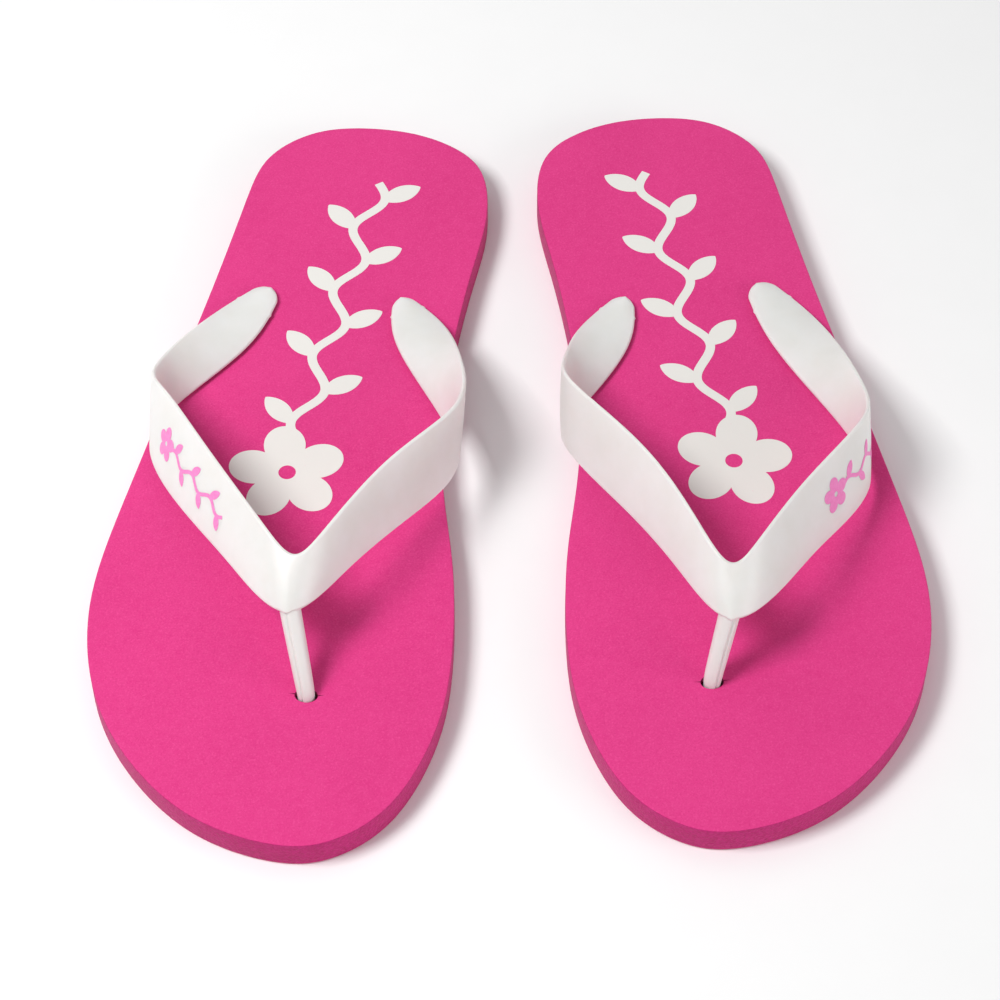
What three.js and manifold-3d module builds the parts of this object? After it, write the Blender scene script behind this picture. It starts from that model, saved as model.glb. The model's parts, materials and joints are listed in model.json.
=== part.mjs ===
// A pair of thong sandals (flip flops): for each foot a die-cut foam sole, one moulded strap
// with its toe post and plugs, and two thin printed decorations.
// Millimetres, +Z up. Toes point to -Y, heels to +Y, and the right shoe stands on the -X side.

import * as THREE from 'three';
import { mergeVertices } from 'three/addons/utils/BufferGeometryUtils.js';
import Module from 'manifold-3d';

const wasm = await Module();
wasm.setup();

// ---- Driving dimensions -------------------------------------------------------------------

const SOLE_THICKNESS = 9.5;
const TREAD_DEPTH = 1.0;
const TREAD_PITCH = 10;
const TREAD_GROOVE_WIDTH = 1.8;
const TREAD_ZIGZAG_HEIGHT = 4;
const TREAD_ZIGZAG_LENGTH = 15;
const TREAD_BORDER = 4;
const SOLE_HALF_WIDTH = 60;
const SOLE_HALF_LENGTH = 140;

const FLEX_LINE_Y = -55;
const FLEX_GAP = 0.3;

const STRAP_THICKNESS = 2.4;
const STRAP_EDGE_RADIUS = 0.65;
const STRAP_RIM_STEPS = 2;
const STRAP_FACE_SHARES = [0.5, 0, -0.5];
const STRAP_STATIONS = 80;
const SURFACE_STEP = 0.02;
const TONGUE_ROUNDING = 0.015;
const TONGUE_STEPS = 4;

const TOE_HOLE = [13.4, -84.5];
const TOE_POST_RADIUS = 2.4;
const TOE_POST_TOP_RADIUS = 3;
const TOE_POST_BEND = 2.5;
const TOE_POST_LEAN_FROM = 0.6;
const TOE_POST_INSET = 3;
const TOE_POST_SETBACK = 2;
const TOE_POST_STATIONS = 16;
const POST_ROOT_RADIUS = 0.6;
const POST_ROOT_INSET = 8;
const SIDE_STEM_RADIUS = 2.1;
const SIDE_STEM_AT = 0.03;
const STEM_CLEARANCE = 0.3;
const PLUG_THICKNESS = 2.2;
const PLUG_RECESS = 1.2;
const TOE_PLUG_RADIUS = 8;
const SIDE_PLUG_RADIUS = 7;

const FILM_THICKNESS = 0.2;
const STRAP_FILM_GAP = 0.15;
const STRAP_FILM_FACET = 2.5;

// The printed decorations: a five-petalled flower with a leafy stem. The flower's sizes are
// shares of its radius and the leaf's are shares of its length.
const PETALS = 5;
const FIRST_PETAL = 0.25;
const PETAL_REACH = 0.6;
const PETAL_LENGTH = 0.84;
const PETAL_WIDTH = 0.72;
const FLOWER_DISC = 0.8;
const FLOWER_EYE = 0.3;
const LEAF_ANGLE = 0.9;
const LEAF_REACH = 0.45;
const LEAF_WIDTH = 0.5;
const LEAF_POINT = 0.6;
const STEPS_PER_LEAF = 8;
const FOOTBED_FLOWER_RADIUS = 17;
const FOOTBED_VINE = {
  start: 12, length: 106, swing: 3.5, stroke: 2.8, leafLength: 13, leaves: 8,
};
const FOOTBED_PRINT_START = [-4, -8];
const FOOTBED_PRINT_TURN = Math.PI / 2 - 0.09;
const STRAP_FLOWER_RADIUS = 5;
const STRAP_VINE = { start: 3.5, length: 33, swing: 1.2, stroke: 1.1, leafLength: 5, leaves: 6 };

const ROUND_SEGMENTS = 20;
const SMALLEST_DETAIL = 0.02;
const OVERCUT = 1;
const OUTLINE_SEGMENTS = 168;
const MERGE_DISTANCE = 1e-5;

// Outline of the right sole seen from above, from the tip of the toe along the big-toe side to
// the heel and back along the little-toe side. The left sole is its mirror image.
const SOLE_OUTLINE = [
  [12, -132.5], [28, -129], [41.5, -116], [49.8, -94], [51.8, -70], [48.8, -40], [43.3, -15],
  [38.8, 12], [38, 42], [40, 74], [42, 98], [38.5, 117.5], [28, 128], [12, 133],
  [-7, 132.5], [-20.5, 127], [-30, 116], [-33.5, 100], [-36, 77], [-39.7, 47], [-43.8, 18],
  [-48.2, -15], [-51.8, -46], [-50.8, -70], [-44, -92], [-31, -111], [-11, -126.5],
];

// Middle of the strap's two long edges, from the outer tongue over the toe post to the inner
// tongue, as [towards the big toe, towards the heel, above the footbed]. The free edge is the
// one around the foot's opening; the low edge faces the sole and the toes.
const RIGHT_STRAP = {
  freeEdge: [
    [-22.5, 62.5, 1.4], [-38, 43, 3.5], [-45.5, 15, 16], [-38.5, -2, 25], [-22, -25, 29.5],
    [-3.5, -49, 31.5], [7, -58.5, 29.5], [15, -50.5, 31.5], [29, -22.5, 29.5], [44, 2, 25],
    [43.5, 25.5, 16], [35, 50, 3.5], [22, 62.5, 1.4],
  ],
  lowEdge: [
    [-16.5, 59, 1.4], [-24, 35.5, 1.4], [-41.5, 10, 1.4], [-42.5, -11.5, 4.5], [-28.5, -34, 11],
    [-11, -55.5, 17], [7, -71.5, 20.5], [20.5, -53.5, 17], [34, -29.5, 11], [45, -4.5, 4.5],
    [36.5, 19, 1.4], [21.5, 42.5, 1.4], [18, 60, 1.4],
  ],
};
const LEFT_STRAP = {
  freeEdge: [
    [-24, 60, 1.4], [-38, 37, 3.5], [-43, 2.5, 16], [-36, -18.5, 25], [-17.5, -40, 29.5],
    [-1.5, -60, 31.5], [6.5, -66, 29.5], [13, -57, 31.5], [24.5, -25.5, 29.5], [41.5, 4.5, 25],
    [42.5, 23, 16], [35.5, 44, 3.5], [22, 58, 1.4],
  ],
  lowEdge: [
    [-17, 56.5, 1.4], [-23, 31, 1.4], [-38, -1.5, 1.4], [-39.5, -26.5, 4.5], [-22, -49, 11],
    [-7.5, -67, 17], [8.5, -78, 20.5], [19, -59.5, 17], [30.5, -32, 11], [44.5, -1.5, 4.5],
    [38, 15.5, 1.4], [22, 36.5, 1.4], [17.5, 55.5, 1.4],
  ],
};

// side is 1 for the right shoe and -1 for its mirror image. The strap's small decoration runs
// from its flower to its tip, both as a share of the strap's length.
const SHOES = [
  {
    name: 'right', side: 1, centre: [-57.1, 10.3], turnDegrees: -6.5, strap: RIGHT_STRAP,
    decoration: { flowerAt: 0.28, tipAt: 0.38 },
  },
  {
    name: 'left', side: -1, centre: [63.5, 14.7], turnDegrees: 5.7, strap: LEFT_STRAP,
    decoration: { flowerAt: 0.304, tipAt: 0.19 },
  },
];

const MATERIALS = {
  foam: { color: 0xe8348b, roughness: 0.85 },
  strap: { color: 0xebebe7, roughness: 0.4 },
  footbedPrint: { color: 0xf2f0ec, roughness: 0.7 },
  strapPrint: { color: 0xf582c8, roughness: 0.5 },
};

// ---- Curves -------------------------------------------------------------------------------

// Natural cubic spline through evenly spaced values; the result is a function of 0..count-1.
function splineThrough(values) {
  const last = values.length - 1;
  const bend = new Array(last + 1).fill(0);
  const slope = new Array(last + 1).fill(0);
  for (let i = 1; i < last; i += 1) {
    const pivot = 4 - slope[i - 1];
    slope[i] = 1 / pivot;
    bend[i] = (6 * (values[i + 1] - 2 * values[i] + values[i - 1]) - bend[i - 1]) / pivot;
  }
  for (let i = last - 1; i > 0; i -= 1) bend[i] -= slope[i] * bend[i + 1];
  return (at) => {
    const i = Math.min(Math.max(Math.floor(at), 0), last - 1);
    const b = at - i;
    const a = 1 - b;
    const straight = a * values[i] + b * values[i + 1];
    return straight + ((a ** 3 - a) * bend[i] + (b ** 3 - b) * bend[i + 1]) / 6;
  };
}

function pathThrough(points) {
  const axes = points[0].map((_, k) => splineThrough(points.map((point) => point[k])));
  return (at) => new THREE.Vector3(axes[0](at), axes[1](at), axes[2] ? axes[2](at) : 0);
}

// A closed outline: the list is wrapped at both ends so the join is as smooth as the rest.
function closedOutline(points, segments) {
  const wrap = 4;
  const path = pathThrough([...points.slice(-wrap), ...points, ...points.slice(0, wrap)]);
  const outline = [];
  for (let i = 0; i < segments; i += 1) outline.push(path(wrap + (i / segments) * points.length));
  return outline;
}

// ---- Solids -------------------------------------------------------------------------------

function signedVolume(geometry) {
  const { array } = geometry.attributes.position;
  const index = geometry.index.array;
  const corner = (i) => new THREE.Vector3().fromArray(array, index[i] * 3);
  let sum = 0;
  for (let i = 0; i < index.length; i += 3) {
    sum += corner(i).dot(corner(i + 1).cross(corner(i + 2))) / 6;
  }
  return sum;
}

function solidFrom(geometry) {
  const bare = new THREE.BufferGeometry();
  bare.setAttribute('position', geometry.attributes.position.clone());
  if (geometry.index) bare.setIndex(geometry.index.clone());
  const merged = mergeVertices(bare, MERGE_DISTANCE);
  const faces = new Uint32Array(merged.index.array);
  if (signedVolume(merged) < 0) {
    for (let i = 0; i < faces.length; i += 3) [faces[i], faces[i + 1]] = [faces[i + 1], faces[i]];
  }
  return new wasm.Manifold(new wasm.Mesh({
    numProp: 3,
    vertProperties: new Float32Array(merged.attributes.position.array),
    triVerts: faces,
  }));
}

function geometryFrom(solid) {
  const mesh = solid.getMesh();
  const positions = [];
  for (let i = 0; i < mesh.vertProperties.length; i += mesh.numProp) {
    positions.push(...mesh.vertProperties.slice(i, i + 3));
  }
  const geometry = new THREE.BufferGeometry();
  geometry.setAttribute('position', new THREE.Float32BufferAttribute(positions, 3));
  geometry.setIndex([...mesh.triVerts]);
  return geometry;
}

function addAll(solids) {
  return solids.reduce((whole, solid) => whole.add(solid));
}

// Flat shape from outline points, with its lower face at the given height.
function prism(points, bottom, height) {
  const shape = new THREE.Shape(points.map((point) => new THREE.Vector2(point.x, point.y)));
  const geometry = new THREE.ExtrudeGeometry(shape, { depth: height, bevelEnabled: false });
  return solidFrom(geometry.translate(0, 0, bottom));
}

function uprightCylinder([x, y], radius, bottom, top) {
  const profile = [[0, bottom], [radius, bottom], [radius, top], [0, top]];
  const points = profile.map(([r, z]) => new THREE.Vector2(r, z));
  const geometry = new THREE.LatheGeometry(points, ROUND_SEGMENTS);
  return solidFrom(geometry.rotateX(Math.PI / 2).translate(x, y, 0));
}

function box(low, high) {
  const size = high.map((value, k) => value - low[k]);
  const centre = high.map((value, k) => (value + low[k]) / 2);
  return solidFrom(new THREE.BoxGeometry(...size).translate(...centre));
}

// Closed skin over a row of rings that all have the same number of points.
function loft(rings) {
  const count = rings[0].length;
  const positions = rings.flat().flatMap((point) => point.toArray());
  const faces = [];
  for (let i = 0; i + 1 < rings.length; i += 1) {
    for (let k = 0; k < count; k += 1) {
      const here = i * count + k;
      const beside = i * count + ((k + 1) % count);
      faces.push(here, beside, here + count, beside, beside + count, here + count);
    }
  }
  const lastRing = (rings.length - 1) * count;
  for (let k = 1; k + 1 < count; k += 1) {
    faces.push(0, k + 1, k, lastRing, lastRing + k, lastRing + k + 1);
  }
  const geometry = new THREE.BufferGeometry();
  geometry.setAttribute('position', new THREE.Float32BufferAttribute(positions, 3));
  geometry.setIndex(faces);
  return solidFrom(geometry);
}

// ---- Strap --------------------------------------------------------------------------------

// The strap as a surface: for a share of its length, its middle, half width and directions.
function strapSurface(strap) {
  const raise = ([x, y, z]) => [x, y, z + SOLE_THICKNESS];
  const freeEdge = pathThrough(strap.freeEdge.map(raise));
  const lowEdge = pathThrough(strap.lowEdge.map(raise));
  const last = strap.freeEdge.length - 1;
  const middleOf = (at) => freeEdge(at).add(lowEdge(at)).multiplyScalar(0.5);
  return (share) => {
    const at = share * last;
    const across = freeEdge(at).sub(lowEdge(at));
    const halfWidth = across.length() / 2;
    across.normalize();
    const along = middleOf(at + SURFACE_STEP).sub(middleOf(at - SURFACE_STEP)).normalize();
    const outward = new THREE.Vector3().crossVectors(along, across).normalize();
    return { middle: middleOf(at), halfWidth, across, outward };
  };
}

// Cross-section with a round rim at both edges and two faces that swell towards the middle.
function strapRing({ middle, halfWidth, across, outward }) {
  const radius = Math.min(STRAP_EDGE_RADIUS, halfWidth / 2);
  const flat = halfWidth - radius;
  const swell = STRAP_THICKNESS / 2 - STRAP_EDGE_RADIUS;
  const section = [];
  for (const side of [1, -1]) {
    for (let step = 0; step <= STRAP_RIM_STEPS; step += 1) {
      const angle = (step / STRAP_RIM_STEPS - 0.5) * Math.PI;
      section.push([side * (flat + radius * Math.cos(angle)), side * radius * Math.sin(angle)]);
    }
    for (const share of STRAP_FACE_SHARES) {
      section.push([side * share * flat, side * (radius + swell * (1 - share * share))]);
    }
  }
  return section.map(([sideways, lift]) => (
    middle.clone().addScaledVector(across, sideways).addScaledVector(outward, lift)
  ));
}

// Places along the strap, as shares of its length: close together on the two rounded tongue
// ends, where each also says how far round its half circle it is, and even in between.
function ribbonStations() {
  const ends = [];
  for (let step = 1; step <= TONGUE_STEPS; step += 1) {
    const turn = (step / (TONGUE_STEPS + 0.5)) * (Math.PI / 2);
    ends.push({ share: TONGUE_ROUNDING * (1 - Math.cos(turn)), narrowing: Math.sin(turn) });
  }
  const body = [];
  for (let i = 0; i <= STRAP_STATIONS; i += 1) {
    const share = TONGUE_ROUNDING + (i / STRAP_STATIONS) * (1 - 2 * TONGUE_ROUNDING);
    body.push({ share, narrowing: 1 });
  }
  const farEnds = ends.map(({ share, narrowing }) => ({ share: 1 - share, narrowing })).reverse();
  return [...ends, ...body, ...farEnds];
}

function ribbon(surface) {
  return loft(ribbonStations().map(({ share, narrowing }) => {
    const section = surface(share);
    section.halfWidth *= narrowing;
    return strapRing(section);
  }));
}

// A round bar whose middle line runs through the stations, each with its own radius.
function bar(stations) {
  const rings = stations.map(({ centre, radius }, i) => {
    const before = stations[Math.max(i - 1, 0)].centre;
    const after = stations[Math.min(i + 1, stations.length - 1)].centre;
    const along = after.clone().sub(before).normalize();
    const sideways = new THREE.Vector3(1, 0, 0).addScaledVector(along, -along.x).normalize();
    const forward = new THREE.Vector3().crossVectors(along, sideways);
    return Array.from({ length: ROUND_SEGMENTS }, (_, k) => {
      const angle = (k / ROUND_SEGMENTS) * 2 * Math.PI;
      return centre.clone()
        .addScaledVector(sideways, radius * Math.cos(angle))
        .addScaledVector(forward, radius * Math.sin(angle));
    });
  });
  return loft(rings);
}

// The post stands upright in the sole, leans back to the lower edge of the strap's middle, and
// fades out as a low rib on the strap's inside.
function toePost(surface) {
  const { middle, halfWidth, across, outward } = surface(0.5);
  const insideStrap = (inset, setback) => middle.clone()
    .addScaledVector(across, inset - halfWidth)
    .addScaledVector(outward, -setback);
  const top = insideStrap(TOE_POST_INSET, TOE_POST_SETBACK);
  const start = new THREE.Vector3(...TOE_HOLE, PLUG_RECESS + PLUG_THICKNESS / 2);
  const foot = start.clone().setZ(SOLE_THICKNESS);
  const aboveFoot = foot.clone().setZ(SOLE_THICKNESS + TOE_POST_BEND);
  const leanFrom = foot.clone().lerp(top, TOE_POST_LEAN_FROM);
  const lean = new THREE.CubicBezierCurve3(foot, aboveFoot, leanFrom, top);
  const stations = lean.getPoints(TOE_POST_STATIONS).map((centre, i) => {
    const radius = THREE.MathUtils.lerp(TOE_POST_RADIUS, TOE_POST_TOP_RADIUS, i / TOE_POST_STATIONS);
    return { centre, radius };
  });
  const root = { centre: insideStrap(POST_ROOT_INSET, POST_ROOT_RADIUS), radius: POST_ROOT_RADIUS };
  return bar([{ centre: start, radius: TOE_POST_RADIUS }, ...stations, root]);
}

function plug(centre, radius) {
  return uprightCylinder(centre, radius, PLUG_RECESS, PLUG_RECESS + PLUG_THICKNESS);
}

// Middle of each tongue, where its stem goes down through the sole.
function tongueMiddles(surface) {
  return [SIDE_STEM_AT, 1 - SIDE_STEM_AT].map((share) => surface(share).middle);
}

function sideStem({ x, y, z }) {
  return uprightCylinder([x, y], SIDE_STEM_RADIUS, PLUG_RECESS + PLUG_THICKNESS / 2, z);
}

function strapSolid(surface) {
  const sides = tongueMiddles(surface);
  return addAll([
    ribbon(surface),
    toePost(surface),
    plug(TOE_HOLE, TOE_PLUG_RADIUS),
    ...sides.map((middle) => sideStem(middle)),
    ...sides.map(({ x, y }) => plug([x, y], SIDE_PLUG_RADIUS)),
  ]);
}

// ---- Sole ---------------------------------------------------------------------------------

// One zigzag groove across the underside, as a closed outline around its middle line.
function grooveOutline(y) {
  const upper = [];
  const lower = [];
  const steps = Math.ceil(SOLE_HALF_WIDTH / TREAD_ZIGZAG_LENGTH);
  for (let i = -steps; i <= steps; i += 1) {
    const x = i * TREAD_ZIGZAG_LENGTH;
    const middle = y + (i % 2 === 0 ? 0 : TREAD_ZIGZAG_HEIGHT);
    lower.push(new THREE.Vector2(x, middle - TREAD_GROOVE_WIDTH / 2));
    upper.unshift(new THREE.Vector2(x, middle + TREAD_GROOVE_WIDTH / 2));
  }
  return [...lower, ...upper];
}

// Every point moved inwards, square to an outline that runs anticlockwise.
function inset(outline, distance) {
  return outline.map((point, i) => {
    const next = outline[(i + 1) % outline.length];
    const previous = outline.at(i - 1);
    const along = next.clone().sub(previous).normalize();
    return new THREE.Vector3(point.x - along.y * distance, point.y + along.x * distance, 0);
  });
}

// The grooves stop short of the sole's wall, at a plain border.
function treadGrooves(soleOutline) {
  const grooves = [];
  const rows = Math.floor(SOLE_HALF_LENGTH / TREAD_PITCH);
  for (let i = -rows; i <= rows; i += 1) {
    const outline = grooveOutline(i * TREAD_PITCH);
    grooves.push(prism(outline, -TREAD_DEPTH, 2 * TREAD_DEPTH));
  }
  const area = prism(inset(soleOutline, TREAD_BORDER), -TREAD_DEPTH, 2 * TREAD_DEPTH);
  return addAll(grooves).intersect(area);
}

function plugHole(centre, stemRadius, plugRadius) {
  const recessTop = PLUG_RECESS + PLUG_THICKNESS + STEM_CLEARANCE;
  return addAll([
    uprightCylinder(centre, stemRadius + STEM_CLEARANCE, -OVERCUT, SOLE_THICKNESS + OVERCUT),
    uprightCylinder(centre, plugRadius + STEM_CLEARANCE, -OVERCUT, recessTop),
  ]);
}

function wholeSole(surface) {
  const outline = closedOutline(SOLE_OUTLINE, OUTLINE_SEGMENTS);
  const slab = prism(outline, 0, SOLE_THICKNESS);
  const sides = tongueMiddles(surface);
  const holes = sides.map(({ x, y }) => plugHole([x, y], SIDE_STEM_RADIUS, SIDE_PLUG_RADIUS));
  holes.push(plugHole(TOE_HOLE, TOE_POST_RADIUS, TOE_PLUG_RADIUS));
  return slab.subtract(treadGrooves(outline)).subtract(addAll(holes));
}

// The foam slab bends across the ball of the foot; each side of the flex line is one solid.
function soleHalves(surface) {
  const sole = wholeSole(surface);
  const [below, above] = [-SOLE_THICKNESS, 2 * SOLE_THICKNESS];
  const half = (low, high) => box([-SOLE_HALF_WIDTH, low, below], [SOLE_HALF_WIDTH, high, above]);
  return {
    forefoot: sole.intersect(half(-SOLE_HALF_LENGTH, FLEX_LINE_Y - FLEX_GAP / 2)),
    heel: sole.intersect(half(FLEX_LINE_Y + FLEX_GAP / 2, SOLE_HALF_LENGTH)),
  };
}

// ---- Printed flower and vine --------------------------------------------------------------

function ovalOutline(centre, length, width, angle, narrowing = 0) {
  const points = [];
  for (let i = 0; i < ROUND_SEGMENTS; i += 1) {
    const turn = (i / ROUND_SEGMENTS) * 2 * Math.PI;
    const a = (length / 2) * Math.cos(turn);
    const b = (width / 2) * Math.sin(turn) * Math.abs(Math.sin(turn)) ** narrowing;
    const x = centre[0] + a * Math.cos(angle) - b * Math.sin(angle);
    const y = centre[1] + a * Math.sin(angle) + b * Math.cos(angle);
    points.push(new THREE.Vector2(x, y));
  }
  return points;
}

function film(outline) {
  return prism(outline, 0, FILM_THICKNESS);
}

function flower(radius) {
  const petals = [];
  for (let i = 0; i < PETALS; i += 1) {
    const angle = ((i + FIRST_PETAL) / PETALS) * 2 * Math.PI;
    const reach = radius * PETAL_REACH;
    const centre = [reach * Math.cos(angle), reach * Math.sin(angle)];
    petals.push(film(ovalOutline(centre, radius * PETAL_LENGTH, radius * PETAL_WIDTH, angle)));
  }
  const disc = film(ovalOutline([0, 0], radius * FLOWER_DISC, radius * FLOWER_DISC, 0));
  const eye = uprightCylinder([0, 0], (radius * FLOWER_EYE) / 2, -OVERCUT, OVERCUT);
  return addAll([...petals, disc]).subtract(eye);
}

// A stem that swings from side to side along +X, with a pointed leaf at each swing.
function vine({ start, length, swing, stroke, leafLength, leaves }) {
  const turns = (leaves * Math.PI) / length;
  const steps = leaves * STEPS_PER_LEAF;
  const lower = [];
  const upper = [];
  for (let i = 0; i <= steps; i += 1) {
    const x = (i / steps) * length;
    const y = swing * Math.sin(x * turns);
    const slope = swing * turns * Math.cos(x * turns);
    const scale = stroke / 2 / Math.hypot(1, slope);
    lower.push(new THREE.Vector2(start + x + slope * scale, y - scale));
    upper.unshift(new THREE.Vector2(start + x - slope * scale, y + scale));
  }
  const parts = [film([...lower, ...upper])];
  for (let i = 0; i < leaves; i += 1) {
    const x = ((i + 0.5) / leaves) * length;
    const angle = i % 2 === 0 ? LEAF_ANGLE : -LEAF_ANGLE;
    const reach = leafLength * LEAF_REACH;
    const y = swing * Math.sin(x * turns) + reach * Math.sin(angle);
    const centre = [start + x + reach * Math.cos(angle), y];
    const outline = ovalOutline(centre, leafLength, leafLength * LEAF_WIDTH, angle, LEAF_POINT);
    parts.push(film(outline));
  }
  return addAll(parts);
}

function footbedPrint() {
  const drawn = flower(FOOTBED_FLOWER_RADIUS).add(vine(FOOTBED_VINE));
  const geometry = geometryFrom(drawn).rotateZ(FOOTBED_PRINT_TURN);
  return solidFrom(geometry.translate(...FOOTBED_PRINT_START, SOLE_THICKNESS));
}

// The small decoration is drawn flat, cut into short facets and laid on the strap's outside.
function strapPrint(surface, { flowerAt, tipAt }) {
  const length = STRAP_VINE.length + STRAP_FLOWER_RADIUS / 2;
  const drawn = flower(STRAP_FLOWER_RADIUS).add(vine(STRAP_VINE));
  const geometry = geometryFrom(drawn.refineToLength(STRAP_FILM_FACET));
  const { array } = geometry.attributes.position;
  for (let i = 0; i < array.length; i += 3) {
    const [x, y, z] = array.slice(i, i + 3);
    const share = flowerAt + (x / length) * (tipAt - flowerAt);
    const { middle, across, outward } = surface(share);
    const height = STRAP_THICKNESS / 2 + STRAP_FILM_GAP + z;
    middle.addScaledVector(across, y).addScaledVector(outward, height).toArray(array, i);
  }
  return solidFrom(geometry);
}

// ---- Assembly -----------------------------------------------------------------------------

function standardMaterial({ color, roughness }) {
  return new THREE.MeshStandardMaterial({ color, roughness, metalness: 0 });
}

// Mirrors the piece for the left foot, turns it, and sets it down in its place in the pair.
function placedMesh(shoe, name, solid, look) {
  const geometry = geometryFrom(solid);
  geometry.scale(shoe.side, 1, 1);
  geometry.rotateZ(THREE.MathUtils.degToRad(shoe.turnDegrees));
  geometry.translate(...shoe.centre, 0);
  const placed = geometryFrom(solidFrom(geometry).simplify(SMALLEST_DETAIL));
  const mesh = new THREE.Mesh(placed, standardMaterial(look));
  mesh.name = `${shoe.name}_${name}`;
  return mesh;
}

function shoeMeshes(shoe) {
  const surface = strapSurface(shoe.strap);
  const { forefoot, heel } = soleHalves(surface);
  return [
    placedMesh(shoe, 'forefoot_sole', forefoot, MATERIALS.foam),
    placedMesh(shoe, 'heel_sole', heel, MATERIALS.foam),
    placedMesh(shoe, 'strap', strapSolid(surface), MATERIALS.strap),
    placedMesh(shoe, 'footbed_print', footbedPrint(), MATERIALS.footbedPrint),
    placedMesh(shoe, 'strap_print', strapPrint(surface, shoe.decoration), MATERIALS.strapPrint),
  ];
}

const group = new THREE.Group();
group.name = 'flip_flop_pair';
for (const shoe of SHOES) group.add(...shoeMeshes(shoe));

// The origin is the middle of the pair's bounding box, on the ground.
const bounds = new THREE.Box3().setFromObject(group);
const middle = bounds.getCenter(new THREE.Vector3());
for (const mesh of group.children) mesh.geometry.translate(-middle.x, -middle.y, -bounds.min.z);

export default group;
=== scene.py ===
# A pair of pink foam flip flops with white moulded straps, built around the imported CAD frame.
# Shapes are drawn in millimetres in the right shoe's own frame (+X to the big toe, +Y to the
# heel, +Z up) and set down in metres where the frame's flex joints say each shoe stands.

import json
import math

import bmesh
import bpy
from mathutils import Matrix, Vector


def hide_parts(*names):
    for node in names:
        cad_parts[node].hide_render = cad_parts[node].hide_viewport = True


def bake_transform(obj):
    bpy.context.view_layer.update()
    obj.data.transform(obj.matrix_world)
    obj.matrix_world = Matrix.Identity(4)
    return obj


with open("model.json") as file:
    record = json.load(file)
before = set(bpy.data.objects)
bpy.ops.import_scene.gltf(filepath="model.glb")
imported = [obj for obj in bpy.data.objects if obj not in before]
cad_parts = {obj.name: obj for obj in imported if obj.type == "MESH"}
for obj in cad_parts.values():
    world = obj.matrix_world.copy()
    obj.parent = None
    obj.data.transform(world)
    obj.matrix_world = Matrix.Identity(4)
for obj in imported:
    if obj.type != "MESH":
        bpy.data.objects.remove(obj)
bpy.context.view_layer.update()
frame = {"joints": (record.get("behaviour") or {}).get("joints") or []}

# ---- Driving dimensions, in millimetres ------------------------------------------------------

MM = 0.001
OVERCUT = 1
MERGE_DISTANCE = 0.0001

SOLE_THICKNESS = 9.5
SOLE_EDGE_RADIUS = 0.5
EDGE_STEPS = 5
OUTLINE_SEGMENTS = 420
SUPPORT_LOOP = 1.0

TREAD_DEPTH = 1.0
TREAD_PITCH = 10
TREAD_GROOVE_WIDTH = 1.8
TREAD_TAPER = 0.5
TREAD_ZIGZAG_HEIGHT = 4
TREAD_ZIGZAG_LENGTH = 15
TREAD_BORDER = 4
TREAD_HALF_WIDTH = 60
TREAD_HALF_LENGTH = 140

FLEX_LINE_Y = -55
BEND_END_Y = 35
SLICE_PITCH = 2.5

STRAP_THICKNESS = 2.4
STRAP_EDGE_RADIUS = 0.65
STRAP_RIM_STEPS = 10
STRAP_FACE_STEPS = 14
STRAP_STATIONS = 320
STRAP_FLASH = 0.1
NUB_HEIGHT = 0.3
RIDGE_HEIGHT = 0.25
LIP_REACH = 0.55

TOE_HOLE = (13.4, -84.5)
TOE_HOLE_STRETCH = (1.2, 0.87)
TOE_SLIT_ENDS = ((5.2, 0.5), (-5.2, 0.2))
TOE_SLIT_HALF_WIDTH = 0.4
TOE_SLIT_BOTTOM = 7.6
TOE_POST_RADIUS = 2.4
TOE_POST_TOP_RADIUS = 3
TOE_POST_BEND = 2.5
TOE_POST_LEAN_FROM = 0.6
TOE_POST_INSET = 3
TOE_POST_SETBACK = 2
TOE_POST_STATIONS = 48
POST_ROOT_RADIUS = 0.6
POST_ROOT_INSET = 8
SIDE_STEM_RADIUS = 2.1
STEM_CLEARANCE = 0.3
SEAM_DEPTH = 0.4
PLUG_THICKNESS = 2.2
PLUG_RECESS = 1.2
PLUG_MIDDLE = PLUG_RECESS + PLUG_THICKNESS / 2
PLUG_EDGE_RADIUS = 0.5
TOE_PLUG_RADIUS = 8
SIDE_PLUG_RADIUS = 7
ROUND_SEGMENTS = 72

FILM_BELOW = 0.03
FILM_ABOVE = 0.07
STRAP_FILM_FACET = 0.8

# Shares of the strap's length: where a detail is, or how far it spreads to each side.
STRAP_APEX = 0.5
RIDGE_SPREAD = 0.007
LIP_SPREAD = 0.006
NUB_AT = 0.033
NUB_SPREAD = 0.0018
SIDE_STEM_AT = 0.03
TONGUE_ROUNDING = 0.015
TONGUE_STEPS = 22
TONGUE_TIP_THICKNESS = 0.35
TANGENT_STEP = 0.02

# Degrees round the toe post, where 0 faces the big toe and -90 faces forwards.
SEAM_AT = -109
SEAM_SPREAD = 7

# Shallow dish under each plug: shares of the plug's radius, with the depth there.
PLUG_DISH = [(0.3, 0.4), (0.62, 0.3), (0.72, 0)]

# A face belongs to the sole's skin or tread if it is this close to level, where 1 is level, and
# the skin reaches this far below the footbed.
LEVEL_ENOUGH = 0.6
SKIN_DEPTH = 1

# Outline of the right sole from above: from the tip of the toe along the big-toe side to the
# heel and back along the little-toe side.
SOLE_OUTLINE = [
    (12, -132.5), (28, -129), (41.5, -116), (49.8, -94), (51.8, -70), (48.8, -40), (43.3, -15),
    (38.8, 12), (38, 42), (40, 74), (42, 98), (38.5, 117.5), (28, 128), (12, 133),
    (-7, 132.5), (-20.5, 127), (-30, 116), (-33.5, 100), (-36, 77), (-39.7, 47), (-43.8, 18),
    (-48.2, -15), (-51.8, -46), (-50.8, -70), (-44, -92), (-31, -111), (-11, -126.5),
]

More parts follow.
